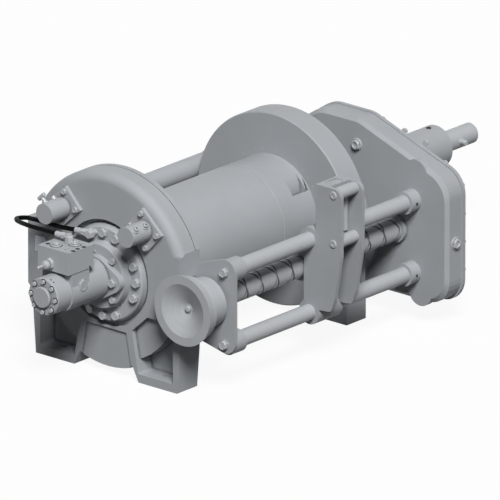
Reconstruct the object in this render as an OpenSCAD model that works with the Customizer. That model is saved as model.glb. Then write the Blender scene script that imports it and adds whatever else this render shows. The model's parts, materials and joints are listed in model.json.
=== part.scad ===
/* [Frames] */
// Height of the drum axis above the base plane
axis_h = 380; // [372:1:420]
// Outer radius of the shroud over the motor end of the drum
shroud_r = 374; // [368:1:380]
// Depth of the motor-end frame along the drum axis
motor_frame_depth = 110; // [104:1:118]
// Thickness of the front web of the motor-end frame
web_t = 25; // [22:1:28]
// Distance from the middle to the inner side of each foot
foot_in_y = 152; // [145:1:158]
// Distance from the middle to the outer side of each motor-end foot
foot_out_y = 334; // [330:1:338]
// Radius of the holes for the foundation bolts
foot_hole_r = 13; // [9:0.5:16]
// Thickness of the foot pads
pad_t = 32; // [28:1:36]

/* [Drum] */
// Radius of the bare drum barrel
barrel_r = 207; // [200:1:214]
// Radius of the flange at the gear end of the drum
flange_r = 361; // [350:1:362]
// Thickness of the flange at the gear end
flange_t = 107; // [100:1:108]
// Length of the barrel between the flanges
barrel_len = 811; // [795:1:815]
// Radius of the drum shaft
shaft_r = 38.5; // [34:0.5:42]

/* [Motor] */
// Radius of the hydraulic motor body
motor_r = 76; // [72:0.5:78]
// Radius of the bolted brake flange
brake_r = 177; // [172:1:180]

/* [Chain case] */
// Thickness of the chain case with its cover
case_t = 94; // [88:1:100]
// Thickness of the cover on the back of the chain case
cover_t = 14; // [12:1:18]
// Length of the shaft tube behind the chain case
tube_len = 608; // [590:1:620]

/* [Level wind] */
// Distance of the guide rods from the drum axis plane
rod_y = 485; // [482:0.5:488]
// Radius of the guide rods
rod_r = 30; // [27:0.5:31]
// Height of the upper guide rod above the drum axis
upper_rod_z = 91; // [89:0.5:93]
// Height of the lower guide rod above the drum axis
lower_rod_z = -182; // [-184:0.5:-180]
// Radius of the diamond screw
screw_r = 42; // [40:0.5:43]
// Width of the carriage along the rods
carriage_w = 130; // [126:1:134]

/* [Hidden] */
$fn = 72;

// Running clearance of a shaft in its bore
fit = 0.05;
// Overshoot of a cut past the face that it opens
over = 1;
paint = [0.72, 0.73, 0.74];
bare_steel = [0.82, 0.83, 0.84];

// Stations along the drum axis, counted from the front face of the motor-end frame
plate_x = motor_frame_depth - 22;
plate_t = 12;
plate_back_x = plate_x + plate_t;
drum_x = plate_back_x;
flange_x = drum_x + barrel_len;
flange_back_x = flange_x + flange_t;
wall_x = flange_back_x + 8;
wall_t = 24;
ring_x = wall_x + wall_t;
case_x = ring_x + 64;
cover_x = case_x + case_t - cover_t;
tube_x = case_x + case_t;
shaft_end_x = tube_x + tube_len + 194;

// Middle of the four foundation bolts along the drum axis
motor_bolt_x = motor_frame_depth / 2;
gear_foot_t = 106;
gear_bolt_x = ring_x - gear_foot_t / 2;
origin_x = (motor_bolt_x + gear_bolt_x) / 2;
foot_bolt_y = 240;

// Level wind
screw_y = -(flange_r + 50);
screw_z = -33;
journal_r = 25;
rod_front_x = plate_back_x;
rod_back_x = case_x;
carriage_x = 546;
side_t = 15;
head_y = -573;
roller_y = -599;
top_roller_z = 284;
lower_roller_z = 101;
roller_r = 23;
roller_pin_r = 8;
upright_y = -567;
upright_r = 15;
upright_pin_r = 6;

// Places a child that is drawn about the drum axis and the front face of the motor-end frame
module from_axis() {
    translate([-origin_x, 0, axis_h]) children();
}

// Extrudes a profile of (y, z) points from x0 to x1
module along_x(x0, x1) {
    translate([x0, 0, 0]) rotate([90, 0, 90]) linear_extrude(x1 - x0) children();
}

// Cylinder along X at a given y and z
module rod_x(x0, x1, r, y = 0, z = 0) {
    translate([x0, y, z]) rotate([0, 90, 0]) cylinder(h = x1 - x0, r = r);
}

// Revolves a profile of (radius, x) points about the drum axis, or an axis beside it
module turned(y = 0, z = 0) {
    translate([0, y, z]) rotate([0, 90, 0]) rotate_extrude() children();
}

// Length and direction of a vector
function unit(v) = v / norm(v);

// Points of the arc of radius r that rounds the corner b between a and c
function round_corner(a, b, c, r, steps) =
    r == 0 ? [b] :
    let (u = unit(a - b), v = unit(c - b),
        half = acos(u * v) / 2,
        centre = b + unit(u + v) * r / sin(half),
        p = b + u * r / tan(half) - centre,
        q = b + v * r / tan(half) - centre,
        sweep = 180 - 2 * half)
    [for (i = [0:steps]) let (t = i / steps)
        centre + (p * sin((1 - t) * sweep) + q * sin(t * sweep)) / sin(sweep)];

// Outline through corners of the form [y, z, radius], each rounded by its radius
function rounded(corners, steps = 8) =
    let (n = len(corners))
    [for (i = [0:n - 1])
        let (a = corners[(i + n - 1) % n], b = corners[i], c = corners[(i + 1) % n])
        each round_corner([a[0], a[1]], [b[0], b[1]], [c[0], c[1]], b[2], steps)];

// Points on a circle about the drum axis from angle a0 to a1
function arc(r, a0, a1, steps) =
    [for (i = [0:steps]) let (a = a0 + (a1 - a0) * i / steps) [r * cos(a), r * sin(a)]];

// Motor-end frame: a shrouded cup on two hollow feet
side_y = shroud_r - 28;
far_side_y = shroud_r - 4;
under_r = shroud_r - 20;
cup_r = shroud_r - 56;
brake_hole_r = 199;
shroud_fillet = 35;
shroud_face_r = shroud_r - shroud_fillet;
// Height above the axis up to which the sides of the frame stay square
shoulder_z = 132;
// Back wall of the hollow feet
pocket_back_x = plate_x - 8;
// Floor of the cup that takes the drum flange, and the outside of its wall in the feet
cup_x = web_t + 13;
cup_wall_r = cup_r + 12;
brake_rim_r = 222;

function motor_frame_outline() = concat(
    [[foot_out_y, -axis_h], [351, -140], [far_side_y, -121], [far_side_y, shroud_r + 20],
        [-side_y, shroud_r + 20], [-side_y, -230], [-foot_out_y, -axis_h], [-foot_in_y, -axis_h],
        [-124, -323]],
    arc(under_r, 252, 288, 12),
    [[124, -323], [foot_in_y, -axis_h]]);

module foot_pocket() {
    polygon(rounded([[-121, -191, 10], [-194, -124, 14], [-315, -122, 10],
        [-315, pad_t - axis_h, 10], [-151, pad_t - axis_h, 10]], 4));
}

module foot_holes(x) {
    for (side = [-1, 1])
        translate([x, side * foot_bolt_y, -axis_h - over]) cylinder(h = pad_t + 2 * over, r = foot_hole_r);
}

// Round profile of the shroud, with the fillet at its front edge
module shroud_profile() {
    polygon(concat([[0, 0]],
        [for (i = [0:10]) let (a = 90 - i * 9)
            [shroud_face_r + shroud_fillet * cos(a), shroud_fillet - shroud_fillet * sin(a)]],
        [[shroud_r, plate_x - 2], [shroud_r - 2, plate_x - 2], [shroud_r - 2, plate_x + 1],
            [shroud_r, plate_x + 1], [shroud_r, motor_frame_depth], [0, motor_frame_depth]]));
}

module motor_end_frame() {
    color(paint) from_axis() difference() {
        union() {
            intersection() {
                along_x(0, motor_frame_depth) polygon(motor_frame_outline());
                union() {
                    turned() shroud_profile();
                    translate([0, -shroud_r - 50, -axis_h])
                        cube([motor_frame_depth, 2 * shroud_r + 100, axis_h + shoulder_z]);
                }
            }
            tie_ear(motor_frame_depth - 16, motor_frame_depth, shroud_r - 34);
        }
        rod_x(cup_x, motor_frame_depth + over, cup_r);
        rod_x(web_t, cup_x + over, brake_rim_r + fit);
        rod_x(-over, web_t + over, brake_hole_r);
        for (side = [0, 1]) mirror([0, side, 0]) {
            along_x(-over, web_t - 3) foot_pocket();
            along_x(web_t - 4, pocket_back_x) difference() {
                foot_pocket();
                circle(cup_wall_r);
            }
        }
        along_x(-over, 8) polygon([[-95, -205], [-118, -330], [-118, -370],
            [118, -370], [118, -330], [95, -205]]);
        rod_x(-over, motor_frame_depth + over, 103, screw_y, screw_z);
        along_x(plate_x, motor_frame_depth + over) polygon(arm_outline());
        foot_holes(motor_bolt_x);
    }
}

// Arm plate that carries the rods and the screw
function arm_outline() = rounded([[-270, 70, 0], [-532, 155, 47], [-532, -228, 47], [-270, -169, 0]]);

module arm_plate() {
    color(paint) from_axis() difference() {
        along_x(plate_x, plate_back_x) polygon(arm_outline());
        rod_x(plate_x - over, plate_back_x + over, journal_r + fit, screw_y, screw_z);
    }
}

// Brake housing: its rim seats behind the web and its body carries the drum
brake_body_r = 130;

module brake_flange() {
    color(paint) from_axis() turned() polygon([[0, -10], [brake_r - 5, -10], [brake_r, -5],
        [brake_r + 5, 17], [brake_r + 5, web_t], [brake_rim_r, web_t], [brake_rim_r, cup_x],
        [brake_body_r, cup_x], [brake_body_r, 140], [0, 140]]);
}

module motor_adapter() {
    color(paint) from_axis() turned()
        polygon([[0, -43], [118, -43], [121, -40], [126, -10], [0, -10]]);
}

// Hydraulic motor with its oval mounting flange
ear_y = 90.5;

module motor_body() {
    color(bare_steel) from_axis() {
        difference() {
            along_x(-68, -43) oval_flange();
            for (side = [-1, 1]) rod_x(-69, -42, 9, side * ear_y, 0);
        }
        rod_x(-170, -68, motor_r);
        rod_x(-263, -170, motor_r);
        translate([-263, -70, 0]) cube([93, 140, 81]);
    }
}

// Outline of the oval flange: a circle and two ears joined by tangents
module oval_flange() {
    slope = acos((82 - 35) / ear_y);
    polygon(concat(
        [for (a = [slope:(180 - 2 * slope) / 8:180 - slope]) 82 * [cos(a), sin(a)]],
        [for (i = [0:12]) let (a = 180 - slope + 2 * slope * i / 12) [-ear_y, 0] + 35 * [cos(a), sin(a)]],
        [for (a = [180 + slope:(180 - 2 * slope) / 8:360 - slope]) 82 * [cos(a), sin(a)]],
        [for (i = [0:12]) let (a = -slope + 2 * slope * i / 12) [ear_y, 0] + 35 * [cos(a), sin(a)]]));
}

module port_block() {
    color(bare_steel) from_axis() difference() {
        translate([-284, -73, 81]) cube([134, 146, 84]);
        for (x = [-255, -180]) translate([x, -30, 150]) cylinder(h = 20, r = 15);
    }
}

module motor_end_cap() {
    color(bare_steel) from_axis() turned()
        polygon([[0, -352], [36, -352], [39, -349], [39, -339], [66, -339], [70, -335], [70, -263], [0, -263]]);
}

// Brake hose with its two end fittings
hose_r = 8.4;
hose_start = [-198, 30, 187];
hose_end = [-36, 80, 147];
HOSE_ROUTE = [hose_start, [-198, 70, 187], [-198, 120, 187], [-198, 180, 187], [-188, 222, 184],
    [-170, 260, 178], [-150, 290, 172], [-118, 316, 165], [-75, 310, 157], [-55, 285, 150],
    [-46, 250, 146], [-43, 200, 144], [-41, 150, 145], [-36, 110, 147], hose_end];

module hose_elbow() {
    color(bare_steel) from_axis() {
        translate([-198, 2, 165]) cylinder(h = 12, r = 15, $fn = 6);
        translate([-198, 2, 177]) cylinder(h = 22, r = 12);
        translate([-198, 2, 187]) rotate([-90, 0, 0]) cylinder(h = 28, r = 10);
    }
}

module brake_fitting() {
    color(bare_steel) from_axis() {
        rod_x(-44, -10, 12, 43, 147);
        translate([-36, 43, 147]) rotate([-90, 0, 0]) cylinder(h = 37, r = 10);
    }
}

// Ring of points about a route point, square to the route there
function ring(i, sides) =
    let (last = len(HOSE_ROUTE) - 1,
        ahead = unit(HOSE_ROUTE[min(i + 1, last)] - HOSE_ROUTE[max(i - 1, 0)]),
        across = unit(cross(ahead, [0, 0, 1])),
        up = cross(across, ahead))
    [for (k = [0:sides - 1]) let (a = 360 * k / sides)
        HOSE_ROUTE[i] + hose_r * (across * cos(a) + up * sin(a))];

module brake_hose() {
    sides = 10;
    rings = len(HOSE_ROUTE);
    color([0.08, 0.08, 0.08]) from_axis() polyhedron(
        points = [for (i = [0:rings - 1]) each ring(i, sides)],
        faces = concat(
            [[for (k = [0:sides - 1]) k]],
            [for (i = [0:rings - 2]) for (k = [0:sides - 1]) let (n = (k + 1) % sides)
                [i * sides + k, (i + 1) * sides + k, (i + 1) * sides + n, i * sides + n]],
            [[for (k = [sides - 1:-1:0]) (rings - 1) * sides + k]]));
}

// Brake release cylinders on the face of the shroud
release_ring_r = shroud_r - 91;
release_angle = 42.7;

module release_cylinder(side) {
    color(paint) from_axis() rotate([side * -release_angle, 0, 0]) translate([0, 0, release_ring_r]) {
        translate([-14, -63, -52]) cube([14, 126, 104]);
        rod_x(-115, -14, 38);
    }
}

module left_release_cylinder() {
    release_cylinder(1);
}

module right_release_cylinder() {
    release_cylinder(-1);
}

// Gear-end frame: an upright wall on two feet, clear of the drum flange
wall_r = 320;
wall_side_y = 316;
gear_foot_y = 321;

function gear_frame_outline() = concat(
    [[gear_foot_y, -axis_h], [wall_side_y, -60]],
    arc(wall_r, -9, 189, 40),
    [[-wall_side_y, -60], [-gear_foot_y, -axis_h], [-foot_in_y, -axis_h], [-125, -310],
        [125, -310], [foot_in_y, -axis_h]]);

module gear_end_frame() {
    color(paint) from_axis() difference() {
        union() {
            along_x(wall_x, ring_x) {
                polygon(gear_frame_outline());
            }
            tie_ear(wall_x, ring_x, wall_r - 60);
            for (side = [-1, 1])
                translate([ring_x - gear_foot_t, side > 0 ? foot_in_y : -gear_foot_y, -axis_h])
                    cube([gear_foot_t, gear_foot_y - foot_in_y, axis_h - 280]);
        }
        rod_x(ring_x - gear_foot_t - over, wall_x, flange_r + 10);
        rod_x(wall_x - over, ring_x + over, shaft_r + fit);
        for (side = [-1, 1])
            translate([ring_x - gear_foot_t + 24, side > 0 ? foot_in_y + 26 : -gear_foot_y + 20, pad_t - axis_h])
                cube([gear_foot_t - 48, gear_foot_y - foot_in_y - 46, 120]);
        foot_holes(gear_bolt_x);
    }
}

module ring_housing() {
    color(paint) from_axis() difference() {
        rod_x(ring_x, case_x, 200);
        rod_x(ring_x - over, case_x + over, shaft_r + 4);
    }
}

// Chain case that drives the diamond screw from the drum shaft
case_top_z = 345;
case_under_z = -290;
case_front_y = -655;
case_rear_y = 235;
case_chamfer = 13;

function case_outline(inset) = rounded([
    [-228, case_top_z - inset, 110], [-451, case_top_z - 80 - inset, 90],
    [case_front_y + inset, case_top_z - 150 - inset, 100],
    [case_front_y + inset, case_under_z + inset, 95],
    [130, case_under_z + inset, 90], [case_rear_y - inset, -120, 120],
    [case_rear_y - inset, 60, 90], [case_rear_y - 45 - inset, 190 - inset, 90],
    [-40, case_top_z - inset, 120]]);

module gear_case() {
    color(paint) from_axis() difference() {
        union() {
            hull() {
                along_x(case_x, case_x + 1) polygon(case_outline(6 + case_chamfer));
                along_x(case_x + case_chamfer, cover_x) polygon(case_outline(6));
            }
            for (boss = [[-500, 194], [-522, -252]]) rod_x(case_x, case_x + 24, 52, boss[0], boss[1]);
            rod_x(case_x - 18, case_x, 50, screw_y, screw_z);
        }
        rod_x(case_x - over, cover_x + over, shaft_r + 4);
        rod_x(case_x - 18 - over, case_x + 10, journal_r + fit, screw_y, screw_z);
    }
}

module case_cover() {
    color(paint) from_axis() difference() {
        along_x(cover_x, tube_x) polygon(case_outline(0));
        rod_x(cover_x - over, tube_x + over, shaft_r + 4);
    }
}

module shaft_tube() {
    color(paint) from_axis() difference() {
        rod_x(tube_x, tube_x + tube_len, 79);
        rod_x(tube_x - over, tube_x + tube_len - 60, shaft_r + 4);
        rod_x(tube_x - over, tube_x + tube_len + over, shaft_r + fit);
    }
}

// Tube behind the drum that ties the two frames together, and the ears that hold it
tie_y = flange_r + 48;
tie_z = 55;

module tie_ear(x0, x1, root_y) {
    rod_x(x0, x1, 42, tie_y, tie_z);
    translate([x0, root_y, tie_z - 42]) cube([x1 - x0, tie_y - root_y, 84]);
}

module rear_tie_tube() {
    color(paint) from_axis() difference() {
        rod_x(motor_frame_depth, wall_x, 40, tie_y, tie_z);
        rod_x(motor_frame_depth - over, wall_x + over, 31, tie_y, tie_z);
    }
}

// Guide rods and the collars at their ends
module upper_guide_rod() {
    color(bare_steel) from_axis() rod_x(rod_front_x, rod_back_x, rod_r, -rod_y, upper_rod_z);
}

module lower_guide_rod() {
    color(bare_steel) from_axis() rod_x(rod_front_x, rod_back_x, rod_r, -rod_y, lower_rod_z);
}

module collar(x0, x1, z) {
    color(paint) from_axis() difference() {
        rod_x(x0, x1, 42, -rod_y, z);
        rod_x(x0 - over, x1 + over, rod_r + fit, -rod_y, z);
    }
}

module upper_arm_collar() {
    collar(rod_front_x, rod_front_x + 59, upper_rod_z);
}

module lower_arm_collar() {
    collar(rod_front_x, rod_front_x + 59, lower_rod_z);
}

module upper_case_collar() {
    collar(rod_back_x - 49, rod_back_x, upper_rod_z);
}

module lower_case_collar() {
    collar(rod_back_x - 49, rod_back_x, lower_rod_z);
}

// Drum: barrel, flanges and the shaft that runs out behind
barrel_wall = 52;
seam_x = flange_x - 180;
// Rope anchor pocket: its middle round the barrel, its end at the flange and the round of its floor
pocket_angle = 43;
pocket_end_x = flange_x - 20;
pocket_half = 36;
pocket_floor_r = 87;
pocket_sweep = 57;
pocket_top = barrel_r - 3;

// The floor leaves the barrel surface at the upper edge and dives to the lower edge
module pocket_section() {
    polygon(concat([[-barrel_r - 40, -pocket_half], [-barrel_r - 40, pocket_half]],
        [for (i = [0:8]) let (a = pocket_sweep * i / 8)
            [-pocket_top + pocket_floor_r * (1 - cos(a)), pocket_half - pocket_floor_r * sin(a)]]));
}

module drum_barrel() {
    color(paint) from_axis() difference() {
        turned() polygon([[barrel_r - barrel_wall, drum_x], [barrel_r, drum_x], [barrel_r, seam_x - 5],
            [barrel_r - 3, seam_x - 2], [barrel_r - 3, seam_x + 2], [barrel_r, seam_x + 5],
            [barrel_r, flange_x], [barrel_r - barrel_wall, flange_x]]);
        rotate([-pocket_angle, 0, 0]) {
            along_x(pocket_end_x - 73, pocket_end_x) pocket_section();
            translate([0, 30 - barrel_r, 0]) rotate([90, 0, 0]) linear_extrude(60)
                polygon([[pocket_end_x - 1, -pocket_half], [pocket_end_x + 13, -pocket_half],
                    [pocket_end_x + 16, 18]]);
        }
    }
}

module motor_end_flange() {
    rim_r = cup_r - 13;
    back_x = drum_x - 20;
    color(paint) from_axis() turned() polygon([[brake_body_r + fit, 46], [rim_r, 46], [rim_r, back_x - 4],
        [rim_r - 5, back_x], [barrel_r, back_x], [barrel_r, drum_x], [brake_body_r + fit, drum_x]]);
}

module gear_end_flange() {
    color(paint) from_axis() turned() polygon([[shaft_r, flange_x], [flange_r - 4, flange_x],
        [flange_r, flange_x + 4], [flange_r, flange_back_x - 4], [flange_r - 4, flange_back_x],
        [shaft_r, flange_back_x]]);
}

module drum_shaft() {
    groove_x = tube_x + tube_len;
    color(bare_steel) from_axis() turned() polygon([[0, flange_x], [shaft_r, flange_x],
        [shaft_r, groove_x], [shaft_r - 1.5, groove_x], [shaft_r - 1.5, groove_x + 4],
        [shaft_r, groove_x + 4], [shaft_r, shaft_end_x - 3], [shaft_r - 3, shaft_end_x],
        [0, shaft_end_x]]);
}

// Diamond screw: two helical grooves of opposite hand cross on it and join at both ends
groove_pitch = 84;
groove_turns = 11.5;
groove_w = 8;
groove_depth = 6;
groove_steps = 16;
// Where the grooves join, along the axis and round the screw
groove_x = plate_back_x + 17;
groove_angle = 200;

// Point at an angle round the screw, counted from the front upward
function on_screw(x, r, a) = [x, screw_y - r * cos(a), screw_z + r * sin(a)];

// Cutter that follows one helix: hand is 1 or -1
module helical_groove(hand) {
    rings = groove_turns * groove_steps;
    sides = [[-1, 0], [1, 0], [1, 1], [-1, 1]];
    points = [for (i = [0:rings]) for (s = sides)
        on_screw(groove_x + groove_pitch * i / groove_steps + s[0] * groove_w / 2,
            screw_r - groove_depth + s[1] * (groove_depth + 3),
            groove_angle + hand * 360 * i / groove_steps)];
    faces = concat(
        [[3, 2, 1, 0]],
        [for (i = [0:rings - 1]) for (k = [0:3]) let (n = (k + 1) % 4)
            [4 * i + k, 4 * i + n, 4 * i + 4 + n, 4 * i + 4 + k]],
        [[4 * rings, 4 * rings + 1, 4 * rings + 2, 4 * rings + 3]]);
    polyhedron(points, hand > 0 ? faces : [for (f = faces) [for (k = [len(f) - 1:-1:0]) f[k]]],
        convexity = 20);
}

module diamond_screw() {
    color(bare_steel) from_axis() {
        rod_x(-15, plate_back_x + 4, journal_r, screw_y, screw_z);
        difference() {
            rod_x(plate_back_x + 2, case_x - 20, screw_r, screw_y, screw_z);
            helical_groove(1);
            helical_groove(-1);
        }
        rod_x(case_x - 22, case_x + 8, journal_r, screw_y, screw_z);
    }
}

// Hand disc on the end of the screw

module hand_disc() {
    color(bare_steel) from_axis() turned(screw_y, screw_z) polygon([[journal_r, -15], [journal_r, 75],
        [92, 75], [92, -8], [118, -8], [118, -24], [112, -24], [112, -30], [125, -30], [131, -59],
        [99, -59], [13, -22], [0, -22], [0, -15]]);
}

// Level-wind carriage
bridge_y = -515;
nut_x = carriage_x + 32;
nut_len = 70;
carriage_end_x = carriage_x + carriage_w;

module rod_holes(x0, x1, r) {
    for (z = [upper_rod_z, lower_rod_z]) rod_x(x0, x1, r, -rod_y, z);
}

module carriage_body() {
    color(paint) from_axis() difference() {
        union() {
            translate([carriage_x, bridge_y, lower_rod_z])
                cube([carriage_w, 55, upper_rod_z - lower_rod_z]);
            rod_holes(carriage_x, carriage_end_x, 47);
            rod_x(nut_x, nut_x + nut_len, 56, screw_y, screw_z);
            translate([nut_x, bridge_y + 20, screw_z - 40]) cube([nut_len, 60, 80]);
        }
        rod_holes(carriage_x - over, carriage_end_x + over, rod_r + fit);
        rod_x(nut_x - over, nut_x + nut_len + over, screw_r + 2, screw_y, screw_z);
    }
}

function side_outline() = rounded([[bridge_y, 308, 0], [-634, 308, 34], [-634, 56, 60],
    [-605, -111, 60], [-586, -160, 20], [bridge_y, -166, 0]]);

module side_plate(x) {
    color(paint) from_axis() difference() {
        along_x(x, x + side_t) polygon(side_outline());
        rod_holes(x - over, x + side_t + over, 47);
        for (z = [top_roller_z, lower_roller_z])
            rod_x(x - over, x + side_t + over, roller_pin_r + fit, roller_y, z);
    }
}

module near_fairlead_plate() {
    side_plate(carriage_x);
}

module far_fairlead_plate() {
    side_plate(carriage_end_x - side_t);
}

upright_x = [carriage_x + 30, carriage_end_x - 35];

module upright_holes(z, h) {
    for (x = upright_x) translate([x, upright_y, z]) cylinder(h = h, r = upright_pin_r + fit);
}

module fairlead_head() {
    color(paint) from_axis() difference() {
        translate([carriage_x + side_t, head_y, 262]) cube([carriage_w - 2 * side_t, bridge_y - head_y, 46]);
        translate([carriage_x + side_t + 20, head_y + 12, 296])
            cube([carriage_w - 2 * side_t - 40, bridge_y - head_y - 24, 20]);
        upright_holes(262 - over, 21);
    }
}

module fairlead_sill() {
    color(paint) from_axis() difference() {
        translate([carriage_x + side_t, head_y, 80]) cube([carriage_w - 2 * side_t, bridge_y - head_y, 42]);
        rod_holes(carriage_x, carriage_end_x, 47.3);
        upright_holes(102, 21);
    }
}

module flat_roller(z) {
    color(bare_steel) from_axis() {
        rod_x(carriage_x + side_t + 1, carriage_end_x - side_t - 1, roller_r, roller_y, z);
        rod_x(carriage_x, carriage_end_x, roller_pin_r, roller_y, z);
    }
}

module top_roller() {
    flat_roller(top_roller_z);
}

module lower_roller() {
    flat_roller(lower_roller_z);
}

module upright_roller(x) {
    color(bare_steel) from_axis() translate([x, upright_y, 0]) {
        translate([0, 0, 124]) cylinder(h = 136, r = upright_r);
        translate([0, 0, 104]) cylinder(h = 176, r = upright_pin_r);
    }
}

module near_vertical_roller() {
    upright_roller(upright_x[0]);
}

module far_vertical_roller() {
    upright_roller(upright_x[1]);
}

motor_end_frame();
arm_plate();
brake_flange();
motor_adapter();
motor_body();
port_block();
motor_end_cap();
hose_elbow();
brake_fitting();
brake_hose();
left_release_cylinder();
right_release_cylinder();
gear_end_frame();
ring_housing();
gear_case();
case_cover();
shaft_tube();
rear_tie_tube();
upper_guide_rod();
lower_guide_rod();
upper_arm_collar();
lower_arm_collar();
upper_case_collar();
lower_case_collar();
drum_barrel();
motor_end_flange();
gear_end_flange();
drum_shaft();
diamond_screw();
hand_disc();
carriage_body();
near_fairlead_plate();
far_fairlead_plate();
fairlead_head();
fairlead_sill();
top_roller();
lower_roller();
near_vertical_roller();
far_vertical_roller();
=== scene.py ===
"""Planetary winch: finishes, fasteners, fittings and the brake hose over its solid parts."""

import json
from math import cos, radians, sin, tau

import bpy
import numpy as np
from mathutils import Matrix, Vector


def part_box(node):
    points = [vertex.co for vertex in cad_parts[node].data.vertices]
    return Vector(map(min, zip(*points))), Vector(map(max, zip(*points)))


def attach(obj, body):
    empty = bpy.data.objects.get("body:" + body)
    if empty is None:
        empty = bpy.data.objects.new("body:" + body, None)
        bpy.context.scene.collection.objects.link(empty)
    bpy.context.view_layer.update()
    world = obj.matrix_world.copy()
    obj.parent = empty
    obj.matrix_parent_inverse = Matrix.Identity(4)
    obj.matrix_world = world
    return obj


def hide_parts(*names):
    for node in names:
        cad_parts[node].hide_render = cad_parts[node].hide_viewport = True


bl_info = {
    "name": "Planetary winch dressing",
    "version": (1, 0, 0),
    "blender": (4, 5, 0),
    "location": "3D View > Sidebar > Winch",
    "description": "Paints the winch and adds its fasteners, fittings and brake hose",
    "category": "Object",
}

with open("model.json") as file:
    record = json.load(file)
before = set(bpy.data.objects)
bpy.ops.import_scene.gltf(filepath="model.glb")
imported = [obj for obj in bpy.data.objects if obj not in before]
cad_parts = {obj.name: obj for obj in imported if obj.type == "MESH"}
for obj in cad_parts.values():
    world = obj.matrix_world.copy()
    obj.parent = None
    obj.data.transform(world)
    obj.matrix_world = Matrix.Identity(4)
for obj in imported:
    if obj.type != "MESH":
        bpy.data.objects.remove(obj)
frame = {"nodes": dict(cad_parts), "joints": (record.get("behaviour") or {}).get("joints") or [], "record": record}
NODES = frame["nodes"]
JOINTS = {joint["name"]: joint for joint in frame["joints"]}
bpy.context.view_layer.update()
MM = 0.001
# Edges of new pieces that bend by more than this stay sharp
SHARP_ANGLE = radians(32)

# Stations in millimetres, counted from the front face of the motor-end frame and the drum axis
FRONT_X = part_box("motor_end_frame")[0].x / MM
AXIS_Z = JOINTS["drum_spin"]["pos_m"][2] / MM


def low(node):
    """Lowest corner of a node, in millimetres from the frame's face and the drum axis."""
    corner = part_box(node)[0]
    return np.array([corner.x / MM - FRONT_X, corner.y / MM, corner.z / MM - AXIS_Z])


def high(node):
    """Highest corner of a node, in millimetres from the frame's face and the drum axis."""
    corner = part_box(node)[1]
    return np.array([corner.x / MM - FRONT_X, corner.y / MM, corner.z / MM - AXIS_Z])


class WinchFinishSettings(bpy.types.PropertyGroup):
    """Colours of the finishes."""

    paint: bpy.props.FloatVectorProperty(
        name="Paint", description="Grey paint of frames, drum and chain case",
        subtype="COLOR", size=3, min=0, max=1, default=(0.335, 0.352, 0.37))
    motor_paint: bpy.props.FloatVectorProperty(
        name="Motor paint", description="Lighter grey of the motor, brake and fittings blocks",
        subtype="COLOR", size=3, min=0, max=1, default=(0.36, 0.377, 0.395))
    steel: bpy.props.FloatVectorProperty(
        name="Machined steel", description="Rods, screw, shaft and rollers",
        subtype="COLOR", size=3, min=0, max=1, default=(0.39, 0.406, 0.424))
    plating: bpy.props.FloatVectorProperty(
        name="Zinc plating", description="Bolts, screws and hose fittings",
        subtype="COLOR", size=3, min=0, max=1, default=(0.42, 0.436, 0.452))
    bright: bpy.props.FloatVectorProperty(
        name="Bright sheet", description="Small bare plate on the frame's web",
        subtype="COLOR", size=3, min=0, max=1, default=(0.48, 0.51, 0.58))
    # Near-black colour: painted shade on the rings round bolt heads and plugs, on the border under the web plate
    # and on the collar set screws, and black oxide on the other small screws
    oxide_and_shade: bpy.props.FloatVectorProperty(
        name="Black oxide", description="Seal rings and small dark screws",
        subtype="COLOR", size=3, min=0, max=1, default=(0.03, 0.03, 0.032))
    hose: bpy.props.FloatVectorProperty(
        name="Hose rubber", description="Outer cover of the brake hose",
        subtype="COLOR", size=3, min=0, max=1, default=(0.004, 0.004, 0.0045))


class WinchBoltSettings(bpy.types.PropertyGroup):
    """Sizes of the fasteners."""

    brake_bolt: bpy.props.FloatProperty(
        name="Brake bolt", description="Width across flats of the brake flange bolts",
        unit="LENGTH", min=0.02, max=0.034, default=0.03)
    cap_bolt: bpy.props.FloatProperty(
        name="Motor cap bolt", description="Width across flats of the motor end cap bolts",
        unit="LENGTH", min=0.01, max=0.018, default=0.015)
    rod_bolt: bpy.props.FloatProperty(
        name="Rod bolt", description="Width across flats of the bolts in the guide rod ends",
        unit="LENGTH", min=0.02, max=0.036, default=0.03)
    cover_bolt: bpy.props.FloatProperty(
        name="Cover bolt", description="Width across flats of the chain case cover bolts",
        unit="LENGTH", min=0.01, max=0.022, default=0.019)


class WinchStageSettings(bpy.types.PropertyGroup):
    """Camera and light."""

    azimuth: bpy.props.FloatProperty(
        name="Azimuth", description="Direction of view about the vertical",
        unit="ROTATION", default=radians(-49.2))
    elevation: bpy.props.FloatProperty(
        name="Elevation", description="Height of the camera above the horizon",
        unit="ROTATION", default=radians(19.48))
    distance: bpy.props.FloatProperty(
        name="Distance", description="Distance of the camera from the point that it looks at",
        unit="LENGTH", min=20, max=80, default=80.0)
    width: bpy.props.FloatProperty(
        name="View width", description="Width of the view at the winch",
        unit="LENGTH", min=1, max=4, default=1.795)


PROPERTY_GROUPS = {
    "winch_finish": WinchFinishSettings,
    "winch_bolts": WinchBoltSettings,
    "winch_stage": WinchStageSettings,
}

# Surfaces: every function returns an array of points and a list of faces

PLATE_POINTS = 64
ARC_POINTS = 9


def round_grid(rows, columns):
    """Quads between neighbouring rings of a closed grid of points, with index row * columns + column."""
    row, column = np.meshgrid(np.arange(rows - 1), np.arange(columns), indexing="ij")
    beside = (column + 1) % columns
    quads = np.stack([row * columns + column, row * columns + beside,
                      (row + 1) * columns + beside, (row + 1) * columns + column], axis=-1)
    return quads.reshape(-1, 4).tolist()


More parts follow.
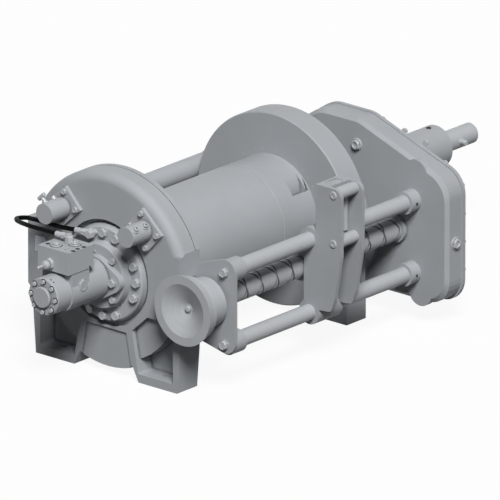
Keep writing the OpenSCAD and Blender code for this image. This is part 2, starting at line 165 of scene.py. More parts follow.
def stacked(rings, columns=36):
    """Surface of stacked rings (height, size, sides) about +Z, closed at both ends.

    The point at angle a of a ring lies at radius size on a circle, or at size / cos(b) on a
    polygon, where b is a folded into half a side either way, so size is the distance to a flat."""
    angle = np.arange(columns) * tau / columns
    points = []
    for height, size, sides in rings:
        fold = (angle + np.pi / sides) % (tau / sides) - np.pi / sides if sides else 0 * angle
        radius = size / np.cos(fold)
        points.append(np.stack([radius * np.cos(angle), radius * np.sin(angle),
                                np.full(columns, height)], axis=1))
    count = len(rings)
    faces = round_grid(count, columns)
    faces.append(list(range(columns))[::-1])
    faces.append(list(range((count - 1) * columns, count * columns)))
    return np.concatenate(points), faces


def hex_bolt(across, height, washer=1.18):
    """Hexagon head on a washer: hexagon rings up to a chamfer that ends in a circle."""
    flat = across / 2
    rim = flat * washer
    thick = across * 0.09
    return stacked([(0, rim - 0.6, 0), (0.4, rim, 0), (thick, rim, 0), (thick, flat, 6),
                    (thick + height * 0.78, flat, 6), (thick + height, flat * 0.97, 0),
                    (thick + height, flat * 0.8, 0), (thick + height * 0.94, flat * 0.74, 0)])


def socket_screw(radius, height):
    """Cap screw: a round head with a rounded rim and a sunk hexagon."""
    key = radius * 0.5
    return stacked([(0, radius, 0), (height - radius * 0.16, radius, 0),
                    (height - radius * 0.05, radius * 0.95, 0), (height, radius * 0.86, 0),
                    (height, key * 1.16, 0), (height, key, 6), (height * 0.45, key, 6)])


def hex_plug(across, height):
    """Hexagon plug on a round collar, with a dished face."""
    flat = across / 2
    return stacked([(0, flat * 1.35, 0), (height * 0.3, flat * 1.35, 0), (height * 0.36, flat * 1.28, 0),
                    (height * 0.36, flat, 6), (height * 0.86, flat, 6), (height, flat * 0.95, 0),
                    (height, flat * 0.6, 0), (height * 0.8, flat * 0.5, 0)])


def turned_part(profile, columns=40):
    """Surface of revolution about +Z through a profile of (height, radius)."""
    return stacked([(height, radius, 0) for height, radius in profile], columns)


def shade_ring(inner, outer, thick=0.8):
    """Thin flat ring about +Z, closed, laid under a bolt head or a plug as painted shade round it: rings of
    (height, radius).
    """
    return turned_part([(0, outer), (thick, outer), (thick, inner), (thick * 0.5, inner * 0.98)], 32)


def plate_shape(width, height, thick, corner):
    """Plate about +Z: superellipse |x / w| ** n + |y / h| ** n = 1 with n set by the corner size."""
    angle = (np.arange(PLATE_POINTS) + 0.5) * tau / PLATE_POINTS
    power = 2 / max(3.0, min(width, height) / corner)
    across = np.sign(np.cos(angle)) * np.abs(np.cos(angle)) ** power
    upward = np.sign(np.sin(angle)) * np.abs(np.sin(angle)) ** power
    points = []
    for lift, inset in ((0, 0.0), (thick * 0.7, 0.0), (thick, thick * 0.3)):
        points.append(np.stack([across * (width / 2 - inset), upward * (height / 2 - inset),
                                np.full(PLATE_POINTS, lift)], axis=1))
    faces = round_grid(3, PLATE_POINTS)
    faces += [list(range(PLATE_POINTS))[::-1], list(range(2 * PLATE_POINTS, 3 * PLATE_POINTS))]
    return np.concatenate(points), faces


def rounded_outline(corners, inset, count):
    """Evenly spaced points on a polygon with rounded corners (y, z, radius), moved inward by inset.

    Each corner's arc is centre + (radius - inset) * (cos a, sin a); its centre lies on the corner's
    bisector at radius / sin(half the corner's angle)."""
    corners = np.array(corners, float)
    spot = corners[:, :2]
    before = np.roll(spot, 1, axis=0) - spot
    after = np.roll(spot, -1, axis=0) - spot
    before /= np.linalg.norm(before, axis=1)[:, None]
    after /= np.linalg.norm(after, axis=1)[:, None]
    middle = before + after
    middle /= np.linalg.norm(middle, axis=1)[:, None]
    half = np.arccos(np.clip(np.sum(before * after, axis=1), -1, 1)) / 2
    centre = spot + middle * (corners[:, 2] / np.sin(half))[:, None]
    outward = np.arctan2(-middle[:, 1], -middle[:, 0])
    turn = np.linspace(-1, 1, ARC_POINTS)[None] * (np.pi / 2 - half)[:, None]
    sense = np.sign(np.cross(after[0], before[0]))
    angle = outward[:, None] + sense * turn
    reach = (corners[:, 2] - inset)[:, None, None]
    arc = centre[:, None] + reach * np.stack([np.cos(angle), np.sin(angle)], axis=-1)
    loop = arc.reshape(-1, 2)
    loop = np.concatenate([loop, loop[:1]])
    run = np.concatenate([[0], np.cumsum(np.linalg.norm(np.diff(loop, axis=0), axis=1))])
    at = (np.arange(count) + 0.5) * run[-1] / count
    return np.stack([np.interp(at, run, loop[:, 0]), np.interp(at, run, loop[:, 1])], axis=1)


def facing(direction):
    """Rotation whose third column is the given direction, as a matrix of columns."""
    third = np.array(direction, float)
    third /= np.linalg.norm(third)
    helper = np.array([0.0, 0.0, 1.0]) if abs(third[2]) < 0.9 else np.array([0.0, 1.0, 0.0])
    first = np.cross(helper, third)
    first /= np.linalg.norm(first)
    return np.stack([first, np.cross(third, first), third], axis=1)


def placed(surface, spots, direction):
    """Copies of a surface with its +Z along a direction, one copy at each spot."""
    points, faces = surface
    turned = points @ facing(direction).T
    spots = np.array(spots, float)
    cloud = (turned[None] + spots[:, None]).reshape(-1, 3)
    shifted = [[index + copy * len(points) for index in face]
               for copy in range(len(spots)) for face in faces]
    return cloud, shifted


def joined(*surfaces):
    """Several surfaces as one."""
    points = []
    faces = []
    start = 0
    for cloud, loops in surfaces:
        points.append(cloud)
        faces += [[index + start for index in loop] for loop in loops]
        start += len(cloud)
    return np.concatenate(points), faces


def circle_spots(x, radius, angles, y=0.0, z=0.0):
    """Points on a circle in a plane across the drum axis, at angles in degrees from +Y."""
    angle = np.radians(np.array(angles, float))
    return np.stack([np.full(len(angle), x), y + radius * np.cos(angle), z + radius * np.sin(angle)], axis=1)


def swept(path, radius, columns=16):
    """Tube round a path: each ring is radius * (across * cos a + up * sin a) about its path point."""
    ahead = np.gradient(path, axis=0)
    ahead /= np.linalg.norm(ahead, axis=1)[:, None]
    across = np.cross(ahead, [0, 0, 1.0])
    across /= np.linalg.norm(across, axis=1)[:, None]
    up = np.cross(across, ahead)
    angle = np.arange(columns) * tau / columns
    rings = (path[:, None] + radius * (across[:, None] * np.cos(angle)[None, :, None]
                                       + up[:, None] * np.sin(angle)[None, :, None]))
    count = len(path)
    faces = [face[::-1] for face in round_grid(count, columns)]
    faces.append(list(range(columns)))
    faces.append(list(range((count - 1) * columns, count * columns))[::-1])
    return rings.reshape(-1, 3), faces


def smooth_path(points, steps):
    """Catmull-Rom curve through points: each span is the cubic that its two neighbours steer."""
    points = np.array(points, float)
    padded = np.concatenate([[2 * points[0] - points[1]], points, [2 * points[-1] - points[-2]]])
    t = np.linspace(0, 1, steps, endpoint=False)[:, None]
    spans = [0.5 * (2 * b + (c - a) * t + (2 * a - 5 * b + 4 * c - d) * t ** 2
                    + (3 * b - a - 3 * c + d) * t ** 3)
             for a, b, c, d in zip(padded[:-3], padded[1:-2], padded[2:-1], padded[3:])]
    return np.concatenate(spans + [points[-1:]])


def make_piece(name, surface, material, body):
    """Makes one mesh object from a surface in millimetres and lets it ride on a body."""
    points, faces = surface
    metres = (points + [FRONT_X, 0, AXIS_Z]) * MM
    mesh = bpy.data.meshes.new(name)
    mesh.from_pydata(metres.tolist(), [], faces)
    mesh.validate()
    mesh.shade_smooth()
    mesh.set_sharp_from_angle(angle=SHARP_ANGLE)
    mesh.materials.append(bpy.data.materials[material])
    piece = bpy.data.objects.new(name, mesh)
    bpy.context.scene.collection.objects.link(piece)
    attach(piece, body)
    return piece


# Shader node groups


def new_group(name, inputs, outputs):
    """An empty shader node group with float or colour sockets and its two end nodes."""
    group = bpy.data.node_groups.new(name, "ShaderNodeTree")
    for label, kind, value in inputs:
        socket = group.interface.new_socket(label, in_out="INPUT", socket_type=kind)
        socket.default_value = value
    for label, kind in outputs:
        group.interface.new_socket(label, in_out="OUTPUT", socket_type=kind)
    return group, group.nodes.new("NodeGroupInput"), group.nodes.new("NodeGroupOutput")


def math_node(tree, operation, first, second):
    """A Math node whose two inputs are sockets or plain numbers."""
    node = tree.nodes.new("ShaderNodeMath")
    node.operation = operation
    for index, value in enumerate((first, second)):
        if isinstance(value, (int, float)):
            node.inputs[index].default_value = value
        else:
            tree.links.new(value, node.inputs[index])
    return node.outputs[0]


def scaled(tree, value, factor, offset):
    """Value * factor + offset, where the offset is a socket or a plain number."""
    return math_node(tree, "ADD", math_node(tree, "MULTIPLY", value, factor), offset)


def noise_node(tree, vector, scale, detail, rough=0.55):
    """Value of a noise texture at a given scale."""
    node = tree.nodes.new("ShaderNodeTexNoise")
    node.inputs["Detail"].default_value = detail
    node.inputs["Roughness"].default_value = rough
    tree.links.new(vector, node.inputs["Vector"])
    if isinstance(scale, (int, float)):
        node.inputs["Scale"].default_value = scale
    else:
        tree.links.new(scale, node.inputs["Scale"])
    return node.outputs["Fac"]


def ramp_node(tree, value, start, end):
    """Value mapped so that start gives 0 and end gives 1, held between them."""
    node = tree.nodes.new("ShaderNodeMapRange")
    node.inputs["From Min"].default_value = start
    node.inputs["From Max"].default_value = end
    tree.links.new(value, node.inputs["Value"])
    return node.outputs["Result"]


def build_edge_group():
    """Edge wear: the mask is where the bevelled normal leaves the true one, broken up by noise."""
    group, source, sink = new_group(
        "winch_edge_wear",
        [("Width", "NodeSocketFloat", 0.004), ("Amount", "NodeSocketFloat", 0.6)],
        [("Mask", "NodeSocketFloat")])
    bevel = group.nodes.new("ShaderNodeBevel")
    bevel.samples = 4
    geometry = group.nodes.new("ShaderNodeNewGeometry")
    dot = group.nodes.new("ShaderNodeVectorMath")
    dot.operation = "DOT_PRODUCT"
    place = group.nodes.new("ShaderNodeTexCoord")
    group.links.new(source.outputs["Width"], bevel.inputs["Radius"])
    group.links.new(bevel.outputs["Normal"], dot.inputs[0])
    group.links.new(geometry.outputs["Normal"], dot.inputs[1])
    bend = ramp_node(group, dot.outputs["Value"], 0.995, 0.86)
    breakup = ramp_node(group, noise_node(group, place.outputs["Object"], 38.0, 5.0), 0.38, 0.62)
    mask = math_node(group, "MULTIPLY", bend, breakup)
    group.links.new(math_node(group, "MULTIPLY", mask, source.outputs["Amount"]), sink.inputs["Mask"])
    return group


def build_grain_group():
    """Cast grain: coarse and fine noise give a height, and slow noise gives a tone."""
    group, source, sink = new_group(
        "winch_grain",
        [("Fine Scale", "NodeSocketFloat", 260.0), ("Coarse Scale", "NodeSocketFloat", 45.0)],
        [("Height", "NodeSocketFloat"), ("Tone", "NodeSocketFloat")])
    place = group.nodes.new("ShaderNodeTexCoord")
    fine = noise_node(group, place.outputs["Object"], source.outputs["Fine Scale"], 3.0)
    coarse = noise_node(group, place.outputs["Object"], source.outputs["Coarse Scale"], 4.0)
    slow = noise_node(group, place.outputs["Object"], 3.2, 5.0, 0.6)
    group.links.new(scaled(group, fine, 0.45, coarse), sink.inputs["Height"])
    group.links.new(slow, sink.inputs["Tone"])
    return group


def build_dust_group():
    """Dust: the mask is where the object's own normal looks up, broken up by noise."""
    group, source, sink = new_group(
        "winch_dust", [("Amount", "NodeSocketFloat", 0.4)], [("Mask", "NodeSocketFloat")])
    place = group.nodes.new("ShaderNodeTexCoord")
    split = group.nodes.new("ShaderNodeSeparateXYZ")
    group.links.new(place.outputs["Normal"], split.inputs[0])
    upward = ramp_node(group, split.outputs["Z"], 0.35, 1.0)
    breakup = ramp_node(group, noise_node(group, place.outputs["Object"], 9.0, 6.0, 0.65), 0.35, 0.75)
    mask = math_node(group, "MULTIPLY", upward, breakup)
    group.links.new(math_node(group, "MULTIPLY", mask, source.outputs["Amount"]), sink.inputs["Mask"])
    return group


def group_node(tree, name, **values):
    """One of the shader groups, placed in a material with its own values."""
    node = tree.nodes.new("ShaderNodeGroup")
    node.node_tree = bpy.data.node_groups[name]
    for label, value in values.items():
        node.inputs[label.replace("_", " ")].default_value = value
    return node


def mixed(tree, mask, first, second):
    """Colour that goes from first to second as the mask goes from 0 to 1."""
    node = tree.nodes.new("ShaderNodeMix")
    node.data_type = "RGBA"
    tree.links.new(mask, node.inputs["Factor"])
    for socket, value in ((node.inputs[6], first), (node.inputs[7], second)):
        if hasattr(value, "links"):
            tree.links.new(value, socket)
        else:
            socket.default_value = (*value, 1.0)
    return node.outputs[2]


def shaded(colour, factor):
    """A colour made lighter or darker by a factor."""
    return tuple(min(1.0, part * factor) for part in colour)


def new_finish(name, metallic, specular):
    """A material with one Principled BSDF."""
    material = bpy.data.materials.new(name)
    material.use_nodes = True
    shader = material.node_tree.nodes["Principled BSDF"]
    shader.inputs["Metallic"].default_value = metallic
    shader.inputs["Specular IOR Level"].default_value = specular
    return material.node_tree, shader


def link_bump(tree, shader, height, strength, distance):
    """Bump node between a height and the shader's normal."""
    bump = tree.nodes.new("ShaderNodeBump")
    bump.inputs["Strength"].default_value = strength
    bump.inputs["Distance"].default_value = distance
    tree.links.new(height, bump.inputs["Height"])
    tree.links.new(bump.outputs["Normal"], shader.inputs["Normal"])


# Distance over which an inner corner gets painted shade, in metres
CORNER_SHADE_REACH = 0.016


def painted_corner_shade(tree, colour, factor):
    """The colour, darkened by a factor in the piece's own inner corners as painted shade, broken up by noise."""
    corner = tree.nodes.new("ShaderNodeAmbientOcclusion")
    corner.samples = 8
    corner.only_local = True
    corner.inputs["Distance"].default_value = CORNER_SHADE_REACH
    place = tree.nodes.new("ShaderNodeTexCoord")
    # Painted shade: darker where the piece's own surfaces close round a point
    corner_shade = ramp_node(tree, corner.outputs["AO"], 0.86, 0.42)
    breakup = ramp_node(tree, noise_node(tree, place.outputs["Object"], 22.0, 4.0), 0.2, 0.55)
    darker = tree.nodes.new("ShaderNodeMix")
    darker.data_type = "RGBA"
    darker.blend_type = "MULTIPLY"
    tree.links.new(math_node(tree, "MULTIPLY", corner_shade, breakup), darker.inputs["Factor"])
    tree.links.new(colour, darker.inputs[6])
    darker.inputs[7].default_value = (factor, factor, factor, 1.0)
    return darker.outputs[2]


def build_paint(name, colour, grain_depth, wear, dust):
    """Satin paint: slow tone changes, worn edges, a little dust, painted shade in inner corners and a grained
    surface.
    """
    tree, shader = new_finish(name, 0.0, 0.22)
    grain = group_node(tree, "winch_grain", Fine_Scale=300.0, Coarse_Scale=60.0)
    edges = group_node(tree, "winch_edge_wear", Width=0.0035, Amount=wear)
    haze = group_node(tree, "winch_dust", Amount=dust)
    tone = ramp_node(tree, grain.outputs["Tone"], 0.3, 0.7)
    base = mixed(tree, tone, shaded(colour, 0.95), shaded(colour, 1.05))
    worn = mixed(tree, edges.outputs["Mask"], base, shaded(colour, 1.25))
    dusty = mixed(tree, haze.outputs["Mask"], worn, shaded(colour, 1.2))
    # Inner corners are darkened to 0.3 as painted shade
    tree.links.new(painted_corner_shade(tree, dusty, 0.3), shader.inputs["Base Color"])
    rough = scaled(tree, haze.outputs["Mask"], 0.2, scaled(tree, tone, 0.1, 0.5))
    tree.links.new(rough, shader.inputs["Roughness"])
    link_bump(tree, shader, grain.outputs["Height"], 0.5, grain_depth)


def build_steel(name, colour, direction_scale):
    """Machined steel: stretched noise leaves turning marks along one direction."""
    tree, shader = new_finish(name, 0.03, 0.25)
    place = tree.nodes.new("ShaderNodeTexCoord")
    mapping = tree.nodes.new("ShaderNodeMapping")
    mapping.inputs["Scale"].default_value = direction_scale
    tree.links.new(place.outputs["Object"], mapping.inputs["Vector"])
    marks = noise_node(tree, mapping.outputs["Vector"], 1.0, 4.0)
    grain = group_node(tree, "winch_grain", Fine_Scale=420.0, Coarse_Scale=80.0)
    edges = group_node(tree, "winch_edge_wear", Width=0.002, Amount=0.5)
    base = mixed(tree, ramp_node(tree, marks, 0.3, 0.7), shaded(colour, 0.96), shaded(colour, 1.04))
    worn = mixed(tree, edges.outputs["Mask"], base, shaded(colour, 1.2))
    # Inner corners are darkened to 0.4 as painted shade
    tree.links.new(painted_corner_shade(tree, worn, 0.4), shader.inputs["Base Color"])
    rough = scaled(tree, grain.outputs["Tone"], 0.16, scaled(tree, marks, 0.1, 0.38))
    tree.links.new(rough, shader.inputs["Roughness"])
    link_bump(tree, shader, marks, 0.25, 0.0001)


def build_plating(name, colour):
    """Zinc plating: mottled bright metal with darker, rougher patches."""
    tree, shader = new_finish(name, 0.1, 0.4)
    grain = group_node(tree, "winch_grain", Fine_Scale=700.0, Coarse_Scale=160.0)
    edges = group_node(tree, "winch_edge_wear", Width=0.001, Amount=0.6)
    tone = ramp_node(tree, grain.outputs["Height"], 0.5, 0.95)
    base = mixed(tree, tone, shaded(colour, 0.9), shaded(colour, 1.08))
    worn = mixed(tree, edges.outputs["Mask"], base, shaded(colour, 1.25))
    # Inner corners are darkened to 0.35 as painted shade
    tree.links.new(painted_corner_shade(tree, worn, 0.35), shader.inputs["Base Color"])
    tree.links.new(scaled(tree, tone, 0.15, 0.36), shader.inputs["Roughness"])
    link_bump(tree, shader, grain.outputs["Height"], 0.25, 0.0002)


def build_rubber(name, colour):
    """Hose cover: black rubber with the fine cross ribs that its cloth wrap leaves."""
    tree, shader = new_finish(name, 0.0, 0.04)
    place = tree.nodes.new("ShaderNodeTexCoord")
    wave = tree.nodes.new("ShaderNodeTexWave")
    wave.inputs["Scale"].default_value = 110.0
    wave.inputs["Distortion"].default_value = 1.5
    tree.links.new(place.outputs["Object"], wave.inputs["Vector"])
    haze = group_node(tree, "winch_dust", Amount=0.08)
    tone = noise_node(tree, place.outputs["Object"], 24.0, 4.0)
    base = mixed(tree, tone, shaded(colour, 0.6), shaded(colour, 1.3))
    tree.links.new(mixed(tree, haze.outputs["Mask"], base, shaded(colour, 3.0)),
                   shader.inputs["Base Color"])
    tree.links.new(scaled(tree, tone, 0.2, 0.36), shader.inputs["Roughness"])
    link_bump(tree, shader, wave.outputs["Fac"], 0.3, 0.0002)


def build_oxide_and_shade(name, colour):
    """Near-black finish with a faint mottle and a soft shine: painted shade on the rings round bolt heads and
    plugs, on the border under the web plate and on the case collars' set screws, and black oxide on the other
    small screws.
    """
    tree, shader = new_finish(name, 0.2, 0.5)
    grain = group_node(tree, "winch_grain", Fine_Scale=600.0, Coarse_Scale=140.0)
    tone = ramp_node(tree, grain.outputs["Height"], 0.5, 0.95)
    tree.links.new(mixed(tree, tone, shaded(colour, 0.7), shaded(colour, 1.4)), shader.inputs["Base Color"])
    tree.links.new(scaled(tree, tone, 0.2, 0.4), shader.inputs["Roughness"])
    link_bump(tree, shader, grain.outputs["Height"], 0.2, 0.0002)


class WINCH_OT_finishes(bpy.types.Operator):
    """Build the finishes and put one on every solid part"""

    bl_idname = "winch.finishes"
    bl_label = "Finishes"

    def execute(self, context):
        colours = context.scene.winch_finish
        build_edge_group()
        build_grain_group()
        build_dust_group()
        build_paint("winch_paint", tuple(colours.paint), 0.0004, 0.18, 0.1)
        build_paint("winch_motor_paint", tuple(colours.motor_paint), 0.0003, 0.3, 0.08)
        build_steel("winch_steel", tuple(colours.steel), (300.0, 14.0, 14.0))
        build_plating("winch_plating", tuple(colours.plating))
        build_plating("winch_bright", tuple(colours.bright))
        build_oxide_and_shade("winch_oxide_and_shade", tuple(colours.oxide_and_shade))
        build_rubber("winch_rubber", tuple(colours.hose))
        finish = {"paint": "winch_paint", "motor_paint": "winch_motor_paint",
                  "bare_steel": "winch_steel", "hose": "winch_rubber"}
        for part in frame["record"]["subparts"]:
            node = NODES[part["node"]]
            material = bpy.data.materials[finish[part["material_slot"]]]
            if not node.material_slots:
                node.data.materials.append(material)
            for slot in node.material_slots:
                slot.material = material
        return {"FINISHED"}


# Brake end: the bolts stand on the flange, the adapter and the motor

QUARTERS = (0, 90, 180, 270)
BRAKE_BOLT_ANGLES = [quarter + step for quarter in QUARTERS for step in (-22.5, 0, 22.5)]
BRAKE_BOLT_CIRCLE = 156
ADAPTER_FACE_X = -43
ADAPTER_BOLT_CIRCLE = 104
ADAPTER_BOLT_ANGLES = (45, 135, 225, 315)
ADAPTER_PIN = (ADAPTER_FACE_X, 14, 91)
EAR_FACE_X = -68
EAR_Y = 90.5
CAP_FACE_X = -339
CAP_BOLT_CIRCLE = 57
CAP_BOLT_COUNT = 8
CAP_BOLT_START = 2
# Two small screws on the round of the motor cap
CAP_SCREW_X = -325
CAP_SCREW_RADIUS = 69.8
CAP_SCREW_ANGLES = (110, 122)
TO_MOTOR = (-1, 0, 0)
TO_CASE = (1, 0, 0)
TO_SIDE = (0, -1, 0)
TO_BACK = (0, 1, 0)
UPWARD = (0, 0, 1)
DOWNWARD = (0, 0, -1)
# How far a screw's foot is sunk into the surface that it stands on
SUNK = 0.5


def make_hardware(name, surface, body="frame", material="winch_plating"):
    """One piece of bare metal hardware, zinc plated unless another finish is named."""
    return make_piece(name, surface, material, body)


class WINCH_OT_brake_bolts(bpy.types.Operator):
    """Bolts of the brake flange, the adapter and the motor flange"""

    bl_idname = "winch.brake_bolts"
    bl_label = "Brake and motor bolts"

    def execute(self, context):
        sizes = context.scene.winch_bolts
        flange = circle_spots(low("brake_flange")[0], BRAKE_BOLT_CIRCLE, BRAKE_BOLT_ANGLES)
        make_hardware("brake_bolts", placed(hex_bolt(sizes.brake_bolt / MM, 13), flange, TO_MOTOR))
        adapter = circle_spots(ADAPTER_FACE_X, ADAPTER_BOLT_CIRCLE, ADAPTER_BOLT_ANGLES)
        make_hardware("adapter_bolts", joined(placed(hex_bolt(24, 11, 1.25), adapter, TO_MOTOR),
                                              placed(socket_screw(4, 3), [ADAPTER_PIN], TO_MOTOR)))
        ears = [(EAR_FACE_X, side * EAR_Y, 0) for side in (-1, 1)]
        make_hardware("motor_flange_bolts", placed(hex_bolt(28, 10, 1.25), ears, TO_MOTOR))
        angles = np.arange(CAP_BOLT_COUNT) * 360 / CAP_BOLT_COUNT + CAP_BOLT_START
        cap = circle_spots(CAP_FACE_X, CAP_BOLT_CIRCLE, angles)
        make_hardware("motor_cap_bolts", placed(hex_bolt(sizes.cap_bolt / MM, 6, 1.05), cap, TO_MOTOR))
        # Near-black rings round the cap bolts: painted shade of their counterbores
        rings = [placed(shade_ring(9, 12), cap, TO_MOTOR)]
        for angle in CAP_SCREW_ANGLES:
            outward = (0, cos(radians(angle)), sin(radians(angle)))
            spot = (CAP_SCREW_X, CAP_SCREW_RADIUS * outward[1], CAP_SCREW_RADIUS * outward[2])
            rings.append(placed(socket_screw(3, 1.5), [spot], outward))
        make_hardware("motor_cap_shade_rings", joined(*rings), material="winch_oxide_and_shade")
        return {"FINISHED"}


# Places on the port block: (y, z) on its face, (x, y) on its top, (x, z) on its side
VALVE_SPOT = (15, 109)
PLUG_SPOTS = ((-246, 20), (-197, -26))
PORT_SPOTS = ((-255, -30), (-180, -30))
PORT_DEPTH = 15
TOP_SCREW_SPOTS = ((-252, 54), (-225, -63), (-253, -66), (-196, -66))
SIDE_SCREW_SPOT = (-171, 86)
MOTOR_PLUG_SPOT = (-208, -70, 25)


class WINCH_OT_motor_fittings(bpy.types.Operator):
    """Plugs, ports and the relief valve on the motor and its port block"""

    bl_idname = "winch.motor_fittings"
    bl_label = "Motor fittings"

    def execute(self, context):
        face, side = low("port_block")[:2]
        top = high("port_block")[2]
        valve = [(face, *VALVE_SPOT)]
        plugs = [(x, y, top) for x, y in PLUG_SPOTS]
        ports = [(x, y, top - PORT_DEPTH) for x, y in PORT_SPOTS]
        screws = [(x, y, top) for x, y in TOP_SCREW_SPOTS]
        valve_hex = stacked([(0, 18, 6), (12, 18, 6), (14, 17.5, 0), (14, 15, 0)])
        valve_stem = turned_part([(13, 12), (17, 12), (18, 16.5), (29, 16.5), (30, 15), (36, 13), (36, 10),
                                  (40, 9), (40, 5.5), (65, 5.5), (67, 4)])
        collar = turned_part([(0, 20.5), (3, 20.5), (4, 19.5), (4, 16), (1, 15)])
        port = turned_part([(0, 14.6), (13, 14.6), (14, 13.6), (14, 6), (11, 5)])
        make_hardware("port_fittings", joined(
            placed(valve_hex, valve, TO_MOTOR), placed(valve_stem, valve, TO_MOTOR),
            placed(collar, plugs, UPWARD), placed(hex_plug(22, 9), plugs[:1], UPWARD),
            placed(hex_plug(26, 10), plugs[1:], UPWARD), placed(port, ports, UPWARD)))
        side_screw = (SIDE_SCREW_SPOT[0], side, SIDE_SCREW_SPOT[1])
        # Near-black rings round the plugs and top screws: painted shade of their recesses
        rings = joined(
            placed(shade_ring(20, 23.5), plugs, UPWARD), placed(shade_ring(5, 8.5), screws, UPWARD),
            placed(socket_screw(5, 2), screws, UPWARD), placed(socket_screw(4, 2), [side_screw], TO_SIDE))
        make_hardware("port_shade_rings", rings, material="winch_oxide_and_shade")
        plug = stacked([(0, 24, 0), (1, 24, 0), (1, 21, 6), (6, 21, 6), (8, 19.5, 0), (8, 15, 0), (7, 14, 0)])
        make_piece("motor_plug", placed(plug, [MOTOR_PLUG_SPOT], TO_SIDE),
                   "winch_motor_paint", "frame")
        return {"FINISHED"}


HOSE_DIAMETER = 16.8
HOSE_ROUTE = [
    (-198, 30, 187), (-198, 70, 187), (-198, 120, 187), (-198, 180, 187), (-188, 222, 184),
    (-170, 260, 178), (-150, 290, 172), (-118, 316, 165), (-75, 310, 157), (-55, 285, 150),
    (-46, 250, 146), (-43, 200, 144), (-41, 150, 145), (-36, 110, 147), (-36, 80, 147),
]
HOSE_NUTS = [(-198, 17, 187), (-36, 66, 147)]
HOSE_UPRIGHT = (-198, 0, 166)
ELBOW_FOOT = (-28, 43, 147)
ELBOW_NUT = (-36, 49, 147)


class WINCH_OT_brake_hose(bpy.types.Operator):
    """Brake hose with its ferrules and nuts"""

    bl_idname = "winch.brake_hose"
    bl_label = "Brake hose"

    def execute(self, context):
        path = smooth_path(HOSE_ROUTE, 8)
        piece = make_piece("hose", swept(path, HOSE_DIAMETER / 2), "winch_rubber", "frame")
        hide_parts("brake_hose")
        ferrule = turned_part([(-2, 9.5), (0, 11), (5, 11), (6, 10.4), (8, 11), (22, 11), (24, 10.4),
                               (26, 11), (30, 11), (32, 9.5)])
        nut = stacked([(0, 10, 0), (1, 11.5, 6), (13, 11.5, 6), (14, 10.5, 0)])
        upright = stacked([(0, 13, 0), (1, 14.5, 6), (26, 14.5, 6), (28, 13, 0)])
        fittings = make_hardware("hose_ends", joined(
            placed(ferrule, [HOSE_ROUTE[0]], TO_BACK), placed(ferrule, [HOSE_ROUTE[-1]], TO_BACK),
            placed(nut, HOSE_NUTS, TO_BACK), placed(upright, [HOSE_UPRIGHT], UPWARD)))
        elbow = stacked([(0, 13.5, 0), (1, 15, 6), (20, 15, 6), (22, 13.5, 0)])
        elbow_nut = stacked([(0, 12, 0), (1, 13.5, 6), (15, 13.5, 6), (16, 12, 0)])
        make_hardware("brake_port_elbow", joined(placed(elbow, [ELBOW_FOOT], TO_MOTOR),
                                                 placed(elbow_nut, [ELBOW_NUT], TO_BACK)))
        return {"FINISHED"}


RELEASE_Y = 192
RELEASE_Z = 208
RELEASE_RADIUS = 38
RELEASE_SCREW_X = -14
# Half the distances between a cylinder's four screws, round the axis and away from it
RELEASE_SCREW_ALONG = 50
RELEASE_SCREW_OUT = 39
VENT_STATIONS = (-93, -41)
TEE_X = -78
TEE_LIFT = 27
LEFT_PLUG_X = -30


class WINCH_OT_release_fittings(bpy.types.Operator):
    """Screws of the two brake release cylinders, the right one's vents and the left one's tee"""

    bl_idname = "winch.release_fittings"
    bl_label = "Release cylinder fittings"

    def execute(self, context):
        surfaces = []
        outward = {}
        for side in (-1, 1):
            centre = np.array([side * RELEASE_Y, RELEASE_Z], float)
            out = centre / np.linalg.norm(centre)
            along = np.array([-out[1], out[0]])
            outward[side] = np.array([0, *out])
            spots = [(RELEASE_SCREW_X, *(centre + along * a + out * b))
                     for a in (-RELEASE_SCREW_ALONG, RELEASE_SCREW_ALONG)
                     for b in (-RELEASE_SCREW_OUT, RELEASE_SCREW_OUT)]
            surfaces.append(placed(hex_bolt(20, 10, 1.25), spots, TO_MOTOR))
        right = np.array([0, -RELEASE_Y, RELEASE_Z]) + outward[-1] * (RELEASE_RADIUS - 1)
        vent = turned_part([(-4, 14), (4, 14), (5, 13), (5, 9.5), (13, 9.5), (14, 8.5), (14, 4.8), (9, 4.5)])
        surfaces.append(placed(vent, [right + [x, 0, 0] for x in VENT_STATIONS], outward[-1]))
        left = np.array([0, RELEASE_Y, RELEASE_Z]) + outward[1] * (RELEASE_RADIUS - 1)
        tee = left + [TEE_X, 0, 0]
        stem = turned_part([(-3, 11), (3, 11), (4, 8), (26, 8), (27, 7)])
        bar = turned_part([(-18, 7), (-17, 8), (17, 8), (18, 7)])
        plug = turned_part([(-3, 11), (4, 11), (5, 9), (12, 9), (13, 8), (13, 4), (9, 4)])
        across = (0, -outward[1][2], outward[1][1])
        surfaces.append(placed(stem, [tee], outward[1]))
        surfaces.append(placed(bar, [tee + outward[1] * TEE_LIFT], across))
        surfaces.append(placed(plug, [left + [LEFT_PLUG_X, 0, 0]], outward[1]))
        make_hardware("release_screws", joined(*surfaces))
        return {"FINISHED"}


# Distance of the set screws from the back of the case collars
COLLAR_SCREW_BACK = 24


